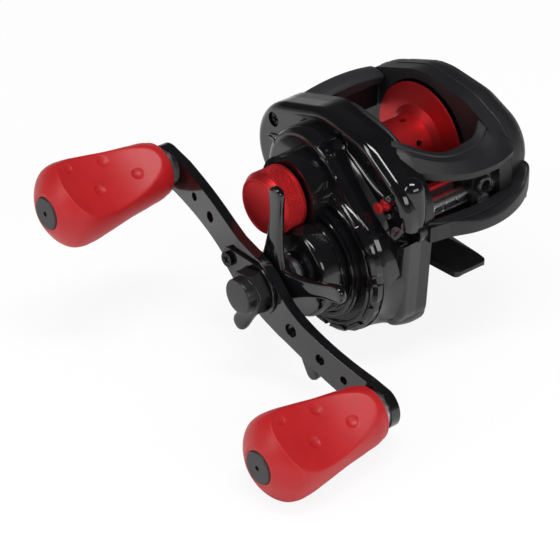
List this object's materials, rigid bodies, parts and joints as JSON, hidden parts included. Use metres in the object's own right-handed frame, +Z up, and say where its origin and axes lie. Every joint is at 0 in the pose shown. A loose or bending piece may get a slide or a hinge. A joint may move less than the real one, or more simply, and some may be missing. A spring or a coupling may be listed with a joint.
{
  "type": "baitcasting reel",
  "caption": "Low-profile baitcasting fishing reel with open-top spool, level wind, star drag, thumb bar clutch and double-paddle crank.",
  "frame": {"origin": "middle of the foot's flat underside, where the rod's seat holds it", "axes": "+X along the spool towards the crank, +Y forward to the rod tip, +Z up from the rod"},
  "size_m": [0.1145, 0.1075, 0.0623],
  "materials": {
    "charcoal": "satin",
    "gloss_black": "gloss",
    "black_metal": "satin",
    "red_anodised": "satin",
    "knob_red": "soft touch",
    "cap_grey": "matte",
    "chrome": "polished",
    "steel": "turned",
    "screw_black": "blackened",
    "brass": "machined",
    "graphite": "matte",
    "bearing": "polished",
    "bar_grey": "textured",
    "ceramic": "polished"
  },
  "bodies": {
    "housing": {"frame": "charcoal", "front_hood": "charcoal", "palm_cover": "charcoal", "handle_side_cover": "gloss_black", "reel_foot": "charcoal", "foot_screws": "steel", "cover_screws": "screw_black", "palm_screw": "screw_black", "hook_keeper": "red_anodised", "spool_bearing_left": "bearing", "spool_bearing_right": "bearing", "drive_bearing": "bearing", "one_way_bearing": "steel", "worm_bush_left": "graphite", "worm_bush_right": "graphite", "idler_pin": "steel", "worm_guard": "chrome", "frame_pillar": "red_anodised", "yoke_posts": "steel"},
    "thumb_lever": {"thumb_bar": "bar_grey", "clutch_cam": "graphite"},
    "yoke": {"clutch_yoke": "steel", "yoke_springs": "steel"},
    "pinion": {"pinion_gear": "brass"},
    "spool_group": {"spool": "red_anodised", "spool_shaft": "steel", "clutch_pin": "steel"},
    "handle": {"drive_shaft": "steel", "level_wind_drive_gear": "graphite", "ratchet": "steel", "main_gear": "brass", "drag_washers": "graphite", "pressure_plates": "steel", "one_way_sleeve": "steel", "spring_washers": "steel", "handle_arm": "gloss_black", "nut_retainer": "gloss_black", "handle_nut": "black_metal", "retainer_screw": "screw_black", "knob_post_front": "steel", "knob_post_rear": "steel"},
    "star": {"star_drag": "gloss_black"},
    "front_grip": {"knob_front": "knob_red", "knob_front_cap": "cap_grey", "knob_front_bush": "graphite"},
    "rear_grip": {"knob_rear": "knob_red", "knob_rear_cap": "cap_grey", "knob_rear_bush": "graphite"},
    "cast_knob": {"cast_control_knob": "red_anodised", "tension_shims": "graphite"},
    "idler": {"idler_gear": "graphite"},
    "worm": {"worm_shaft": "steel", "worm_gear": "graphite"},
    "guide": {"line_guide": "black_metal", "line_guide_eye": "ceramic", "pawl": "steel", "pawl_cap": "chrome"},
    "dial": {"brake_dial": "black_metal"},
    "magnets": {"magnet_ring": "graphite", "brake_magnets": "steel"}
  },
  "joints": [
    {"name": "handle_spin", "type": "hinge", "parent": "housing", "child": "handle", "pos_m": [0, 0.00573, 0.00315], "axis": [1, 0, 0], "continuous": true},
    {"name": "spool_spin", "type": "hinge", "parent": "housing", "child": "spool_group", "pos_m": [0, -0.003, 0.0205], "axis": [1, 0, 0], "continuous": true},
    {"name": "thumb_bar_slide", "type": "slide", "parent": "housing", "child": "thumb_lever", "axis": [0, 0, -1], "range_m": [0, 0.0045], "stiffness_N_per_m": 120},
    {"name": "yoke_slide", "type": "slide", "parent": "housing", "child": "yoke", "axis": [1, 0, 0], "range_m": [0, 0.0015]},
    {"name": "pinion_spin", "type": "hinge", "parent": "yoke", "child": "pinion", "pos_m": [0, -0.003, 0.0205], "axis": [1, 0, 0], "continuous": true},
    {"name": "idler_spin", "type": "hinge", "parent": "housing", "child": "idler", "pos_m": [0, 0.0126, 0.01781], "axis": [1, 0, 0], "continuous": true},
    {"name": "worm_spin", "type": "hinge", "parent": "housing", "child": "worm", "pos_m": [0, 0.0225, 0.0181], "axis": [1, 0, 0], "continuous": true},
    {"name": "line_guide_slide", "type": "slide", "parent": "housing", "child": "guide", "axis": [1, 0, 0], "range_m": [-0.0024, 0.0156]},
    {"name": "star_spin", "type": "hinge", "parent": "handle", "child": "star", "pos_m": [0, 0.00573, 0.00315], "axis": [1, 0, 0], "range_deg": [-170, 170]},
    {"name": "knob_front_spin", "type": "hinge", "parent": "handle", "child": "front_grip", "pos_m": [0, 0.04906, -0.01228], "axis": [1, 0, 0], "continuous": true},
    {"name": "knob_rear_spin", "type": "hinge", "parent": "handle", "child": "rear_grip", "pos_m": [0, -0.03761, 0.01858], "axis": [1, 0, 0], "continuous": true},
    {"name": "cast_knob_spin", "type": "hinge", "parent": "housing", "child": "cast_knob", "pos_m": [0, -0.003, 0.0205], "axis": [1, 0, 0], "range_deg": [-170, 170]},
    {"name": "brake_dial_turn", "type": "hinge", "parent": "housing", "child": "dial", "pos_m": [0, -0.003, 0.0205], "axis": [1, 0, 0], "range_deg": [0, 270]},
    {"name": "magnet_slide", "type": "slide", "parent": "housing", "child": "magnets", "axis": [1, 0, 0], "range_m": [0, 0.0015]}
  ],
  "couplings": [
    {"joint": "spool_spin", "follows": "handle_spin", "ratio": -6.4},
    {"joint": "pinion_spin", "follows": "handle_spin", "ratio": -6.4},
    {"joint": "idler_spin", "follows": "handle_spin", "ratio": -1.4545},
    {"joint": "worm_spin", "follows": "handle_spin", "ratio": 2.9091},
    {"joint": "yoke_slide", "follows": "thumb_bar_slide", "ratio": 0.33333},
    {"joint": "magnet_slide", "follows": "brake_dial_turn", "m_per_rad": 0.00031831}
  ]
}
